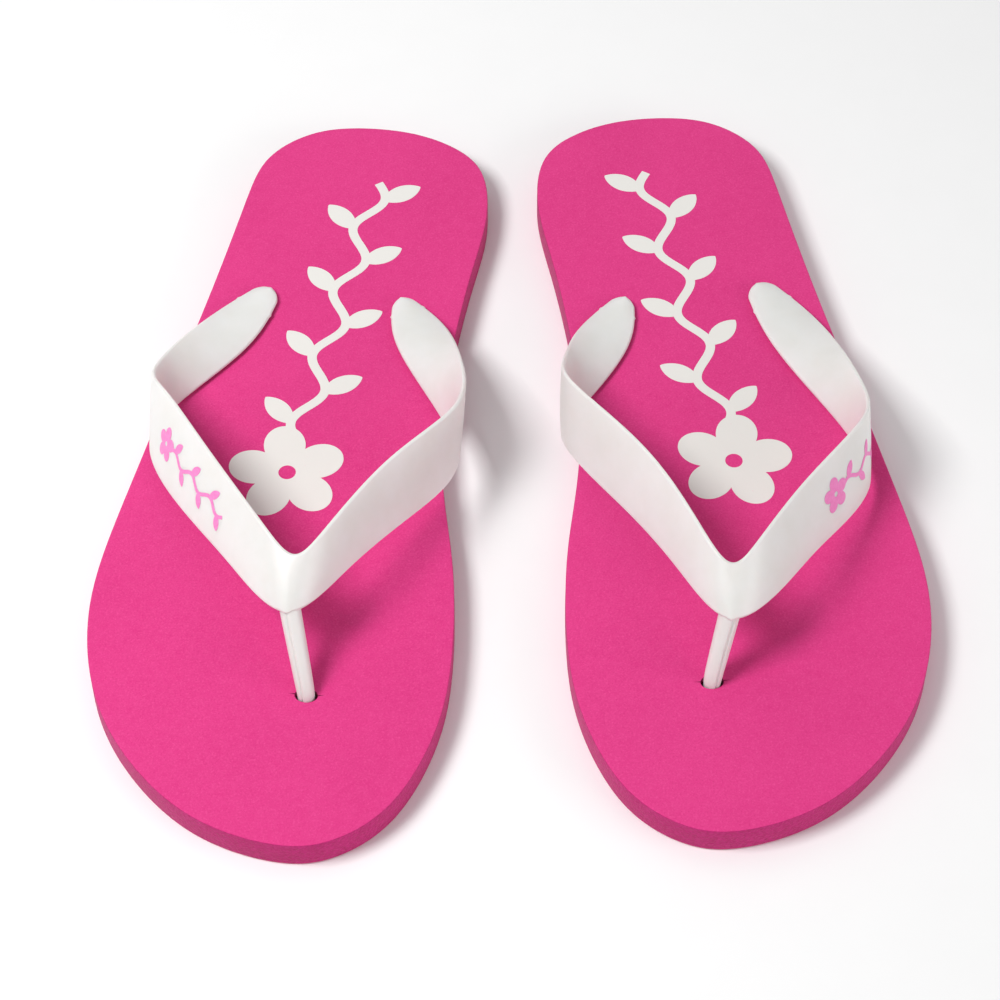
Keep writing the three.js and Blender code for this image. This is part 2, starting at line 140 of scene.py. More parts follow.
# Middle of the strap's two long edges, from the outer tongue over the toe post to the inner
# tongue. Each point is so far towards the big toe, towards the heel and above the footbed. The
# free edge is the one around the foot's opening; the low edge faces the sole and the toes.
RIGHT_STRAP = {
    "free_edge": [
        (-22.5, 62.5, 1.4), (-38, 43, 3.5), (-45.5, 15, 16), (-38.5, -2, 25), (-22, -25, 29.5),
        (-3.5, -49, 31.5), (7, -58.5, 29.5), (15, -50.5, 31.5), (29, -22.5, 29.5), (44, 2, 25),
        (43.5, 25.5, 16), (35, 50, 3.5), (22, 62.5, 1.4),
    ],
    "low_edge": [
        (-16.5, 59, 1.4), (-24, 35.5, 1.4), (-41.5, 10, 1.4), (-42.5, -11.5, 4.5),
        (-28.5, -34, 11), (-11, -55.5, 17), (7, -71.5, 20.5), (20.5, -53.5, 17),
        (34, -29.5, 11), (45, -4.5, 4.5), (36.5, 19, 1.4), (21.5, 42.5, 1.4), (18, 60, 1.4),
    ],
}
LEFT_STRAP = {
    "free_edge": [
        (-24, 60, 1.4), (-38, 37, 3.5), (-43, 2.5, 16), (-36, -18.5, 25), (-17.5, -40, 29.5),
        (-1.5, -60, 31.5), (6.5, -66, 29.5), (13, -57, 31.5), (24.5, -25.5, 29.5),
        (41.5, 4.5, 25), (42.5, 23, 16), (35.5, 44, 3.5), (22, 58, 1.4),
    ],
    "low_edge": [
        (-17, 56.5, 1.4), (-23, 31, 1.4), (-38, -1.5, 1.4), (-39.5, -26.5, 4.5), (-22, -49, 11),
        (-7.5, -67, 17), (8.5, -78, 20.5), (19, -59.5, 17), (30.5, -32, 11), (44.5, -1.5, 4.5),
        (38, 15.5, 1.4), (22, 36.5, 1.4), (17.5, 55.5, 1.4),
    ],
}

# The strap's small print runs from its flower to its tip, both as shares of the strap's length.
SHOES = [
    {"name": "right", "side": 1, "strap": RIGHT_STRAP, "print_from": 0.28, "print_to": 0.38},
    {"name": "left", "side": -1, "strap": LEFT_STRAP, "print_from": 0.304, "print_to": 0.19},
]

# For each piece of a shoe: the frame's nodes it stands for, the material slot it takes its
# finish from, and the angle in degrees above which its edges stay sharp.
PIECES = {
    "sole": {"nodes": ["forefoot_sole", "heel_sole"], "slot": "foam", "sharp_degrees": 30},
    "moulded_strap": {"nodes": ["strap"], "slot": "strap", "sharp_degrees": 35},
    "footbed_flower": {"nodes": ["footbed_print"], "slot": "footbed_print", "sharp_degrees": 30},
    "strap_flower": {"nodes": ["strap_print"], "slot": "strap_print", "sharp_degrees": 30},
}

# The flower, in shares of its radius; its first petal is turned by a share of a petal's angle.
PETALS = 5
FIRST_PETAL = 0.25
PETAL_REACH = 0.6
PETAL_LENGTH = 0.84
PETAL_WIDTH = 0.72
FLOWER_DISC = 0.8
FLOWER_EYE = 0.3

# The vine's leaves, in shares of a leaf's length; their angle to the stem is in radians.
LEAF_ANGLE = 0.9
LEAF_REACH = 0.45
LEAF_WIDTH = 0.5
LEAF_POINT = 0.6
STEPS_PER_LEAF = 16

FOOTBED_FLOWER_RADIUS = 17
FOOTBED_VINE = {"length": 106, "swing": 3.5, "stroke": 2.8, "leaf_length": 13, "leaves": 8}
FOOTBED_VINE_START = 12
FOOTBED_PRINT_AT = (-4, -8)
FOOTBED_PRINT_TURN = math.pi / 2 - 0.09

STRAP_FLOWER_RADIUS = 5
STRAP_VINE = {"length": 33, "swing": 1.2, "stroke": 1.1, "leaf_length": 5, "leaves": 6}
STRAP_VINE_START = 3.5

# ---- Camera, floor and light, in metres, degrees and watts -----------------------------------

CAMERA_TARGET = Vector((-0.0028, -0.0121, 0))
CAMERA_DISTANCE = 0.879
CAMERA_ELEVATION = 52.4
CAMERA_LENS_MM = 108
CAMERA_SENSOR_MM = 36

FLOOR_HALF_SIZE = 20
FLOOR_GAP = 0.0002
WORLD_STRENGTH = 0.34

# Each light's direction from the pair, its distance, its width and its power.
LIGHTS = {
    "key": {"direction": (-0.66, -0.24, 1.05), "distance": 1, "size": 0.34, "watts": 7.1},
    "top_fill": {"direction": (-0.25, 0.6, 1), "distance": 1, "size": 0.8, "watts": 1.2},
    "front_fill": {"direction": (0.1, -1, 0.3), "distance": 1.8, "size": 1.2, "watts": 1.3},
    "right_fill": {"direction": (1, -0.5, 0.25), "distance": 1.8, "size": 1.2, "watts": 13},
}


# ---- Curves ----------------------------------------------------------------------------------

def spline_through(values):
    """Natural cubic spline through evenly spaced values, as a function of 0 to count - 1."""
    last = len(values) - 1
    bend = [0.0] * (last + 1)
    slope = [0.0] * (last + 1)
    for i in range(1, last):
        pivot = 4 - slope[i - 1]
        slope[i] = 1 / pivot
        step = values[i + 1] - 2 * values[i] + values[i - 1]
        bend[i] = (6 * step - bend[i - 1]) / pivot
    for i in range(last - 1, 0, -1):
        bend[i] -= slope[i] * bend[i + 1]

    def value(at):
        i = min(max(math.floor(at), 0), last - 1)
        b = at - i
        a = 1 - b
        straight = a * values[i] + b * values[i + 1]
        return straight + ((a ** 3 - a) * bend[i] + (b ** 3 - b) * bend[i + 1]) / 6

    return value


def path_through(points):
    """The same for points: a smooth curve that passes point i at the value i."""
    axes = [spline_through(values) for values in zip(*points)]
    return lambda at: Vector([axis(at) for axis in axes])


def closed_outline(points, segments):
    """The list is wrapped at both ends, so that the join is as smooth as the rest."""
    wrap = 4
    path = path_through([*points[-wrap:], *points, *points[:wrap]])
    return [path(wrap + i / segments * len(points)) for i in range(segments)]


def inset(outline, distance):
    """Every point moved inwards, square to an outline that runs anticlockwise."""
    moved = []
    for i, point in enumerate(outline):
        along = outline[(i + 1) % len(outline)] - outline[i - 1]
        inwards = Vector((-along.y, along.x)).normalized()
        moved.append(point + inwards * distance)
    return moved


def bell(distance, width):
    """1 at no distance, falling smoothly to almost 0 at twice the width."""
    return math.exp(-((distance / width) ** 2))


def quarter(radius):
    """(inset, height) pairs round a quarter circle, from a flat bottom up to an upright wall."""
    turns = [step / EDGE_STEPS * math.pi / 2 for step in range(EDGE_STEPS + 1)]
    return [(radius * (1 - math.sin(turn)), radius * (1 - math.cos(turn))) for turn in turns]


# ---- Solids ----------------------------------------------------------------------------------

def solid(vertices, faces):
    """Object made of the given faces, all of them turned to face out."""
    mesh = bpy.data.meshes.new("solid")
    mesh.from_pydata([tuple(vertex) for vertex in vertices], [], faces)
    shape = bmesh.new()
    shape.from_mesh(mesh)
    bmesh.ops.recalc_face_normals(shape, faces=shape.faces)
    shape.to_mesh(mesh)
    shape.free()
    made = bpy.data.objects.new("solid", mesh)
    bpy.context.scene.collection.objects.link(made)
    return made


def loft(rings):
    """Closed skin over a row of rings that all have the same number of points."""
    count = len(rings[0])
    faces = []
    for i in range(len(rings) - 1):
        for k in range(count):
            here = i * count + k
            beside = i * count + (k + 1) % count
            faces.append((here, beside, beside + count, here + count))
    last = (len(rings) - 1) * count
    faces.append(tuple(range(count)))
    faces.append(tuple(range(last, last + count)))
    return solid([point for ring in rings for point in ring], faces)


def prism(outline, bottom, top):
    return loft([[Vector((p.x, p.y, z)) for p in outline] for z in (bottom, top)])


def turned(profile, centre, stretch=(1, 1)):
    """Solid of revolution about an upright line, from (radius, height) pairs off the line."""
    rings = []
    for radius, height in profile:
        ring = []
        for k in range(ROUND_SEGMENTS):
            angle = k / ROUND_SEGMENTS * 2 * math.pi
            x = centre[0] + radius * stretch[0] * math.cos(angle)
            y = centre[1] + radius * stretch[1] * math.sin(angle)
            ring.append(Vector((x, y, height)))
        rings.append(ring)
    return loft(rings)


def mesh_after_modifiers(piece):
    graph = bpy.context.evaluated_depsgraph_get()
    return bpy.data.meshes.new_from_object(piece.evaluated_get(graph))


def combined(operation, first, *others):
    """The first solid after the boolean operation with each of the others in turn."""
    for other in others:
        modifier = first.modifiers.new("combine", "BOOLEAN")
        modifier.operation = operation
        modifier.solver = "MANIFOLD"
        modifier.object = other
    mesh = mesh_after_modifiers(first)
    first.modifiers.clear()
    first.data = mesh
    for other in others:
        bpy.data.objects.remove(other)
    return first


def sliced(piece, axis, places):
    """Extra edges straight across the piece at each place, so that it can bend smoothly."""
    shape = bmesh.new()
    shape.from_mesh(piece.data)
    normal = Vector([1 if k == axis else 0 for k in range(3)])
    for place in places:
        parts = [*shape.verts, *shape.edges, *shape.faces]
        bmesh.ops.bisect_plane(shape, geom=parts, plane_co=normal * place, plane_no=normal,
                               dist=MERGE_DISTANCE)
    shape.to_mesh(piece.data)
    shape.free()
    return piece


def bend_slices():
    """Evenly spaced places from the flex line to the end of the bend."""
    count = round((BEND_END_Y - FLEX_LINE_Y) / SLICE_PITCH)
    return [FLEX_LINE_Y + i * SLICE_PITCH for i in range(count + 1)]


def finished(piece):
    """Triangles only, all of them facing out."""
    shape = bmesh.new()
    shape.from_mesh(piece.data)
    bmesh.ops.triangulate(shape, faces=shape.faces)
    bmesh.ops.recalc_face_normals(shape, faces=shape.faces)
    shape.to_mesh(piece.data)
    shape.free()


# ---- Strap -----------------------------------------------------------------------------------

def strap_surface(strap):
    """The strap as a function of the share of its length: its middle, its own directions,
    and its half width and share of the full thickness there."""
    def raised(edge):
        return path_through([(x, y, z + SOLE_THICKNESS) for x, y, z in edge])

    free_edge = raised(strap["free_edge"])
    low_edge = raised(strap["low_edge"])
    last = len(strap["free_edge"]) - 1

    def middle_of(at):
        return (free_edge(at) + low_edge(at)) / 2

    def surface(share):
        at = share * last
        across = free_edge(at) - low_edge(at)
        half_width = across.length / 2
        across.normalize()
        along = (middle_of(at + TANGENT_STEP) - middle_of(at - TANGENT_STEP)).normalized()
        outward = along.cross(across).normalized()
        return {"share": share, "middle": middle_of(at), "half_width": half_width,
                "across": across, "outward": outward, "thickness": 1}

    return surface


def face_height(share):
    """Height of a face over the strap's middle, at a share of its half width from the middle."""
    swell = STRAP_THICKNESS / 2 - STRAP_EDGE_RADIUS
    return STRAP_EDGE_RADIUS + swell * (1 - share * share)


def strap_section():
    """Cross-section with two faces that swell towards the middle and a fine moulding line
    round its rim. Each point is (share of the flat half width, distance beyond it, height)."""
    points = []
    for side in (1, -1):
        for step in range(STRAP_RIM_STEPS + 1):
            angle = (step / STRAP_RIM_STEPS - 0.5) * math.pi
            flash = STRAP_FLASH if 2 * step == STRAP_RIM_STEPS else 0
            beyond = STRAP_EDGE_RADIUS * math.cos(angle) + flash
            points.append((side, side * beyond, side * STRAP_EDGE_RADIUS * math.sin(angle)))
        for step in range(1, STRAP_FACE_STEPS):
            share = 1 - 2 * step / STRAP_FACE_STEPS
            points.append((side * share, 0, side * face_height(share)))
    return points


def strap_ring(place, section):
    """One cross-section of the strap, with its moulding nubs, its ridge and its lip."""
    share = place["share"]
    radius = min(STRAP_EDGE_RADIUS, place["half_width"] / 2)
    flat = place["half_width"] - radius
    from_tip = min(share, 1 - share)
    nub = NUB_HEIGHT * bell(from_tip - NUB_AT, NUB_SPREAD)
    lip = LIP_REACH * bell(share - STRAP_APEX, LIP_SPREAD)
    ridge = RIDGE_HEIGHT * bell(share - STRAP_APEX, RIDGE_SPREAD)
    ring = []
    for sideways, beyond, height in section:
        at = sideways * flat + beyond * radius / STRAP_EDGE_RADIUS
        if abs(sideways) == 1:
            at += math.copysign(nub, sideways)
        if sideways < 0:
            at += sideways * lip
        lift = height * place["thickness"]
        if height > 0:
            lift += ridge * max(0, -sideways)
        ring.append(place["middle"] + place["across"] * at + place["outward"] * lift)
    return ring


def strap_stations(surface):
    """Cross-sections along the strap: close together round the two tongue tips. The tips stop
    half a step short of full width, where the even ones begin."""
    tips = []
    for step in range(1, TONGUE_STEPS + 1):
        turn = step / (TONGUE_STEPS + 0.5) * math.pi / 2
        tips.append((TONGUE_ROUNDING * (1 - math.cos(turn)), math.sin(turn)))
    stations = []
    for share, narrowing in tips:
        for at in (share, 1 - share):
            place = surface(at)
            place["half_width"] *= narrowing
            place["thickness"] = min(1, TONGUE_TIP_THICKNESS + narrowing)
            stations.append(place)
    for i in range(STRAP_STATIONS + 1):
        share = TONGUE_ROUNDING + i / STRAP_STATIONS * (1 - 2 * TONGUE_ROUNDING)
        stations.append(surface(share))
    return sorted(stations, key=lambda place: place["share"])


def ribbon(surface):
    section = strap_section()
    return loft([strap_ring(place, section) for place in strap_stations(surface)])


def bar(stations):
    """Round bar through (centre, radius) stations, with a moulding seam down its front."""
    rings = []
    for i, (centre, radius) in enumerate(stations):
        before = stations[max(i - 1, 0)][0]
        after = stations[min(i + 1, len(stations) - 1)][0]
        along = (after - before).normalized()
        sideways = (Vector((1, 0, 0)) - along * along.x).normalized()
        rearward = along.cross(sideways)
        ring = []
        for k in range(ROUND_SEGMENTS):
            degrees = k / ROUND_SEGMENTS * 360 - 180
            reach = radius - SEAM_DEPTH * bell(degrees - SEAM_AT, SEAM_SPREAD)
            angle = math.radians(degrees)
            ring.append(centre + sideways * reach * math.cos(angle)
                        + rearward * reach * math.sin(angle))
        rings.append(ring)
    return loft(rings)


def bezier(a, b, c, d, t):
    """Point at the share t of a curve from a to d, which is drawn towards b and then c."""
    s = 1 - t
    return a * s ** 3 + b * 3 * s * s * t + c * 3 * s * t * t + d * t ** 3


def toe_post(surface):
    """Upright in the sole, leaning back to the lower edge of the strap's middle and fading out
    as a low rib on the strap's inside."""
    place = surface(STRAP_APEX)

    def inside_strap(inset_by, setback):
        across = place["across"] * (inset_by - place["half_width"])
        return place["middle"] + across - place["outward"] * setback

    top = inside_strap(TOE_POST_INSET, TOE_POST_SETBACK)
    start = Vector((*TOE_HOLE, PLUG_MIDDLE))
    foot = Vector((*TOE_HOLE, SOLE_THICKNESS))
    above = foot + Vector((0, 0, TOE_POST_BEND))
    towards_top = foot.lerp(top, TOE_POST_LEAN_FROM)
    stations = [(start, TOE_POST_RADIUS)]
    for i in range(TOE_POST_STATIONS + 1):
        t = i / TOE_POST_STATIONS
        radius = TOE_POST_RADIUS + t * (TOE_POST_TOP_RADIUS - TOE_POST_RADIUS)
        stations.append((bezier(foot, above, towards_top, top, t), radius))
    stations.append((inside_strap(POST_ROOT_INSET, POST_ROOT_RADIUS), POST_ROOT_RADIUS))
    return bar(stations)


def plug(centre, radius):
    """Flat button under the sole with rounded edges and a shallow dish."""
    bottom = PLUG_RECESS
    top = bottom + PLUG_THICKNESS
    profile = [(share * radius, bottom + depth) for share, depth in PLUG_DISH]
    profile += [(radius - back, bottom + height) for back, height in quarter(PLUG_EDGE_RADIUS)]
    profile.append((radius, top))
    return turned(profile, centre)


def tongue_middles(surface):
    """Middle of each tongue, where its stem goes down through the sole."""
    return [surface(share)["middle"] for share in (SIDE_STEM_AT, 1 - SIDE_STEM_AT)]


def strap_solid(surface):
    parts = [ribbon(surface), toe_post(surface), plug(TOE_HOLE, TOE_PLUG_RADIUS)]
    for middle in tongue_middles(surface):
        stem = [(SIDE_STEM_RADIUS, PLUG_MIDDLE), (SIDE_STEM_RADIUS, middle.z)]
        parts.append(turned(stem, middle))
        parts.append(plug(middle, SIDE_PLUG_RADIUS))
    return combined("UNION", *parts)


# ---- Sole ------------------------------------------------------------------------------------

def rounded_edge_profile():
    """(inset, height) pairs up the wall of the sole, with both of its edges rounded."""
    low = quarter(SOLE_EDGE_RADIUS)
    high = [(back, SOLE_THICKNESS - height) for back, height in reversed(low)]
    flat = SOLE_EDGE_RADIUS + SUPPORT_LOOP
    return [(flat, 0), *low, *high, (flat, SOLE_THICKNESS)]


def slab(outline):
    rings = []
    for back, height in rounded_edge_profile():
        rings.append([Vector((p.x, p.y, height)) for p in inset(outline, back)])
    return loft(rings)


def groove(y):
    """One zigzag groove across the underside, wider at its mouth than at its floor."""
    steps = math.ceil(TREAD_HALF_WIDTH / TREAD_ZIGZAG_LENGTH)
    middle_line = []
    for i in range(-steps, steps + 1):
        shift = 0 if i % 2 == 0 else TREAD_ZIGZAG_HEIGHT
        middle_line.append(Vector((i * TREAD_ZIGZAG_LENGTH, y + shift)))
    rings = []
    for height, widening in ((-TREAD_DEPTH, TREAD_TAPER), (TREAD_DEPTH, -TREAD_TAPER / 2)):
        half = (TREAD_GROOVE_WIDTH + widening) / 2
        lower = [Vector((p.x, p.y - half, height)) for p in middle_line]
        upper = [Vector((p.x, p.y + half, height)) for p in reversed(middle_line)]
        rings.append(lower + upper)
    return loft(rings)


def joined(parts):
    """One object from solids that stand apart from each other."""
    whole = bmesh.new()
    for part in parts:
        whole.from_mesh(part.data)
    whole.to_mesh(parts[0].data)
    whole.free()
    for part in parts[1:]:
        bpy.data.objects.remove(part)
    return parts[0]


def tread_grooves(outline):
    rows = TREAD_HALF_LENGTH // TREAD_PITCH
    grooves = joined([groove(i * TREAD_PITCH) for i in range(-rows, rows + 1)])
    area = prism(inset(outline, TREAD_BORDER), -2 * TREAD_DEPTH, 2 * TREAD_DEPTH)
    return combined("INTERSECT", grooves, area)


def plug_hole(centre, stem_radius, plug_radius, stretch=(1, 1)):
    """The recess for a plug and the shaft for its stem."""
    recess_top = PLUG_RECESS + PLUG_THICKNESS + STEM_CLEARANCE
    recess_radius = plug_radius + STEM_CLEARANCE
    shaft_radius = stem_radius + STEM_CLEARANCE
    recess = [(recess_radius, -OVERCUT), (recess_radius, recess_top)]
    shaft = [(shaft_radius, -OVERCUT), (shaft_radius, SOLE_THICKNESS + OVERCUT)]
    return [turned(recess, centre), turned(shaft, centre, stretch)]


def toe_slit():
    """The foam is nicked at both sides of the toe hole."""
    inner_end, outer_end = TOE_SLIT_ENDS
    corners = [inner_end, (0, TOE_SLIT_HALF_WIDTH), outer_end, (0, -TOE_SLIT_HALF_WIDTH)]
    outline = [Vector(TOE_HOLE) + Vector(corner) for corner in corners]
    return prism(outline, TOE_SLIT_BOTTOM, SOLE_THICKNESS + OVERCUT)


def sole_solid(surface):
    outline = closed_outline(SOLE_OUTLINE, OUTLINE_SEGMENTS)
    cuts = plug_hole(TOE_HOLE, TOE_POST_RADIUS, TOE_PLUG_RADIUS, TOE_HOLE_STRETCH)
    cuts.append(toe_slit())
    for middle in tongue_middles(surface):
        cuts += plug_hole(middle, SIDE_STEM_RADIUS, SIDE_PLUG_RADIUS)
    whole = combined("DIFFERENCE", slab(outline), tread_grooves(outline), *cuts)
    return sliced(whole, 1, bend_slices())


# ---- Printed flower and vine -----------------------------------------------------------------

def oval(centre, length, width, angle=0, narrowing=0):
    """Ellipse turned by an angle; narrowing draws its two ends out to points."""
    points = []
    turn = Matrix.Rotation(angle, 2)
    for i in range(ROUND_SEGMENTS):
        around = i / ROUND_SEGMENTS * 2 * math.pi
        narrowed = math.sin(around) * abs(math.sin(around)) ** narrowing
        along = length / 2 * math.cos(around)
        across = width / 2 * narrowed
        points.append(Vector(centre) + turn @ Vector((along, across)))
    return points


def film(outline):
    """Thin layer of ink that sits a little in the surface it is printed on."""
    return prism(outline, -FILM_BELOW, FILM_ABOVE)


def flower(radius):
    """Petals round a disc, with a hole for its eye."""
    petals = []
    for i in range(PETALS):
        angle = (i + FIRST_PETAL) / PETALS * 2 * math.pi
        reach = PETAL_REACH * radius
        centre = (reach * math.cos(angle), reach * math.sin(angle))
        petals.append(film(oval(centre, PETAL_LENGTH * radius, PETAL_WIDTH * radius, angle)))
    disc = film(oval((0, 0), FLOWER_DISC * radius, FLOWER_DISC * radius))
    eye = prism(oval((0, 0), FLOWER_EYE * radius, FLOWER_EYE * radius), -OVERCUT, OVERCUT)
    return combined("DIFFERENCE", combined("UNION", disc, *petals), eye)


def vine(start, length, swing, stroke, leaf_length, leaves):
    """A stem that swings from side to side along +X, with a pointed leaf at each swing."""
    turns = leaves * math.pi / length
    steps = leaves * STEPS_PER_LEAF
    lower = []
    upper = []
    for i in range(steps + 1):
        x = i / steps * length
        slope = swing * turns * math.cos(x * turns)
        scale = stroke / 2 / math.hypot(1, slope)
        y = swing * math.sin(x * turns)
        lower.append(Vector((start + x + slope * scale, y - scale)))
        upper.insert(0, Vector((start + x - slope * scale, y + scale)))
    parts = [film(lower + upper)]
    for i in range(leaves):
        x = (i + 0.5) / leaves * length
        angle = LEAF_ANGLE if i % 2 == 0 else -LEAF_ANGLE
        reach = LEAF_REACH * leaf_length
        centre = (start + x + reach * math.cos(angle),
                  swing * math.sin(x * turns) + reach * math.sin(angle))
        parts.append(film(oval(centre, leaf_length, LEAF_WIDTH * leaf_length, angle,
                               LEAF_POINT)))
    return combined("UNION", *parts)


def footbed_print():
    """Flower by the toe post, with its vine up the middle of the footbed to the heel."""
    drawn = combined("UNION", flower(FOOTBED_FLOWER_RADIUS),
                     vine(FOOTBED_VINE_START, **FOOTBED_VINE))
    at = Vector((*FOOTBED_PRINT_AT, SOLE_THICKNESS))
    drawn.data.transform(Matrix.Translation(at) @ Matrix.Rotation(FOOTBED_PRINT_TURN, 4, "Z"))
    return sliced(drawn, 1, bend_slices())


def facet_lines(start, end):
    count = math.ceil((end - start) / STRAP_FILM_FACET)
    return [start + i * STRAP_FILM_FACET for i in range(count)]


def strap_print(surface, shoe):
    """Drawn flat, cut into short facets and laid on the strap's outside, with the middle of its
    flower at print_from and its tip close to print_to."""
    drawn = combined("UNION", flower(STRAP_FLOWER_RADIUS), vine(STRAP_VINE_START, **STRAP_VINE))
    radius = STRAP_FLOWER_RADIUS
    length = STRAP_VINE["length"] + radius / 2
    sliced(drawn, 0, facet_lines(-radius, length + radius))
    sliced(drawn, 1, facet_lines(-radius, radius))
    for vertex in drawn.data.vertices:
        x, y, z = vertex.co
        share = shoe["print_from"] + x / length * (shoe["print_to"] - shoe["print_from"])
        place = surface(share)
        lift = face_height(y / (place["half_width"] - STRAP_EDGE_RADIUS)) + z
        vertex.co = place["middle"] + place["across"] * y + place["outward"] * lift
    return drawn


# ---- Materials -------------------------------------------------------------------------------

# Almost all of a noise's values lie between these two.
NOISE_SPAN = (0.3, 0.7)


def linear(red, green, blue):
    """Scene colour from the 0 to 255 values of a display colour."""
    values = []
    for value in (red, green, blue):
        share = value / 255
        values.append(share / 12.92 if share <= 0.04045 else ((share + 0.055) / 1.055) ** 2.4)
    return (*values, 1)


class Surface:
    """A material's node tree, with its shader, and short calls for the nodes that feed it."""

    def __init__(self, name, **constants):
        self.material = bpy.data.materials.new(name)
        self.material.use_nodes = True
        self.tree = self.material.node_tree
        self.shader = self.tree.nodes["Principled BSDF"]
        for socket, value in constants.items():
            self.shader.inputs[socket.replace("_", " ")].default_value = value
        self.place = self.node("ShaderNodeTexCoord").outputs["Object"]

    def node(self, kind, inputs=None, **settings):
        node = self.tree.nodes.new(kind)
        for name, value in settings.items():
            setattr(node, name, value)
        for name, value in (inputs or {}).items():
            if isinstance(value, bpy.types.NodeSocket):
                self.tree.links.new(value, node.inputs[name])
            else:
                node.inputs[name].default_value = value
        return node

    def noise(self, size, detail=3, roughness=0.6):
        """Smooth noise whose features are about size metres across."""
        inputs = {"Vector": self.place, "Scale": 1 / size, "Detail": detail,
                  "Roughness": roughness}
        return self.node("ShaderNodeTexNoise", inputs).outputs["Fac"]

    def cells(self, size):
        """Distance from the middle of the nearest of many small cells."""
        inputs = {"Vector": self.place, "Scale": 1 / size}
        return self.node("ShaderNodeTexVoronoi", inputs).outputs["Distance"]

    def ramp(self, value, start, end, low=0.0, high=1.0):
        """What lies between start and end, spread over low to high."""
        inputs = {"Value": value, "From Min": start, "From Max": end, "To Min": low,
                  "To Max": high}
        return self.node("ShaderNodeMapRange", inputs).outputs["Result"]

    def mix(self, share, first, second):
        """Colour that goes from first to second as the share goes from 0 to 1."""
        node = self.node("ShaderNodeMix", data_type="RGBA")
        for socket, value in zip((node.inputs[0], node.inputs[6], node.inputs[7]),
                                 (share, first, second)):
            if isinstance(value, bpy.types.NodeSocket):
                self.tree.links.new(value, socket)
            else:
                socket.default_value = value
        return node.outputs[2]

    def bump(self, height, depth, strength=1.0, under=None):
        """Relief of about depth metres, on top of the one under it if that is given."""
        inputs = {"Height": height, "Distance": depth, "Strength": strength}
        if under is not None:
            inputs["Normal"] = under
        return self.node("ShaderNodeBump", inputs).outputs["Normal"]

    def feed(self, socket, value):
        self.tree.links.new(value, self.shader.inputs[socket])

    def wandering(self, size, detail, first, second):
        """Colour that wanders between two colours in patches of about size metres."""
        return self.mix(self.ramp(self.noise(size, detail), *NOISE_SPAN), first, second)

    def roughness(self, size, low, high, detail=3):
        """Roughness that wanders from low to high in patches of about size metres."""
        self.feed("Roughness", self.ramp(self.noise(size, detail), *NOISE_SPAN, low, high))


def foam_skin():
    """Top of the foam sheet: matt pink, faintly mottled, with a fine closed-cell grain."""
    skin = Surface("foam_skin", Sheen_Weight=0.12, Sheen_Roughness=0.5, Specular_IOR_Level=0.3)
    base = skin.wandering(0.045, 2, linear(214, 47, 125), linear(221, 53, 131))
    mottles = skin.ramp(skin.noise(0.003, 4, 0.7), 0.35, 0.65, 0, 0.18)
    mottled = skin.mix(mottles, base, linear(236, 76, 150))
    light_grain = skin.ramp(skin.noise(0.0006, 2, 0.7), 0.5, 0.72, 0, 0.45)
    lighter = skin.mix(light_grain, mottled, linear(238, 84, 154))
    dark_grain = skin.ramp(skin.noise(0.0005, 2), 0.5, 0.75, 0, 0.45)
    skin.feed("Base Color", skin.mix(dark_grain, lighter, linear(196, 30, 104)))
    skin.roughness(0.002, 0.72, 0.88)
    pores = skin.bump(skin.cells(0.0005), 0.00006, 0.4)
    skin.feed("Normal", skin.bump(skin.noise(0.0006, 4, 0.7), 0.00007, 0.5, under=pores))
    return skin.material


def foam_cut_with_painted_shade():
    """Die-cut wall of the foam: opened cells and a bluer tint than the skin, and darker than the
    skin partly as the cut foam's own colour and partly as painted shade on the sides of the
    sole.
    """
    wall = Surface("foam_cut_with_painted_shade", Sheen_Weight=0.1, Specular_IOR_Level=0.25)
    # Both wall colours sit below the skin's partly as painted shade for the sole's sides, not
    # only as the cut foam's own colour.
    base = wall.wandering(0.02, 2, linear(190, 30, 113), linear(198, 36, 121))
    grain = wall.ramp(wall.noise(0.0009, 3, 0.75), 0.4, 0.62, 0, 0.65)
    wall.feed("Base Color", wall.mix(grain, base, linear(168, 22, 88)))
    wall.roughness(0.0012, 0.85, 0.95)
    cells = wall.bump(wall.cells(0.0007), 0.00025, 0.6)
    wall.feed("Normal", wall.bump(wall.noise(0.0013, 4, 0.7), 0.0003, 0.6, under=cells))
    return wall.material


def foam_tread():
    """Underside of the foam: dusty in patches, with the grain of the mould."""
    tread = Surface("foam_tread", Specular_IOR_Level=0.3)
    base = tread.wandering(0.03, 3, linear(212, 46, 122), linear(222, 56, 132))
    dust = tread.ramp(tread.noise(0.006, 6, 0.75), 0.52, 0.72, 0, 0.25)
    tread.feed("Base Color", tread.mix(dust, base, linear(196, 88, 130)))
    tread.roughness(0.003, 0.7, 0.9)
    tread.feed("Normal", tread.bump(tread.noise(0.0012, 4, 0.7), 0.0002, 0.5))
    return tread.material


def strap_vinyl():
    """Off-white satin moulded vinyl, slightly translucent, with a very fine mould grain."""
    vinyl = Surface("strap_vinyl", Coat_Weight=0.15, Coat_Roughness=0.3, Subsurface_Weight=0.6,
                    Subsurface_Scale=0.003, Subsurface_Radius=(1, 0.9, 0.85))
    vinyl.feed("Base Color",
               vinyl.wandering(0.012, 3, linear(223, 223, 219), linear(228, 228, 226)))
    vinyl.roughness(0.004, 0.34, 0.46, detail=4)
    waves = vinyl.bump(vinyl.noise(0.009, 2), 0.0004, 0.12)
    vinyl.feed("Normal", vinyl.bump(vinyl.noise(0.0006, 3), 0.00003, 0.25, under=waves))
    return vinyl.material


def footbed_ink():
    """White screen print that has settled into the foam's grain, worn thin in tiny spots."""
    ink = Surface("footbed_ink", Specular_IOR_Level=0.35)
    worn = ink.ramp(ink.noise(0.0014, 5, 0.75), 0.66, 0.74, 0, 0.5)
    ink.feed("Base Color", ink.mix(worn, linear(230, 228, 223), linear(238, 160, 192)))
    ink.roughness(0.002, 0.6, 0.75)
    ink.feed("Normal", ink.bump(ink.noise(0.0016, 4, 0.7), 0.0001, 0.4))
    return ink.material


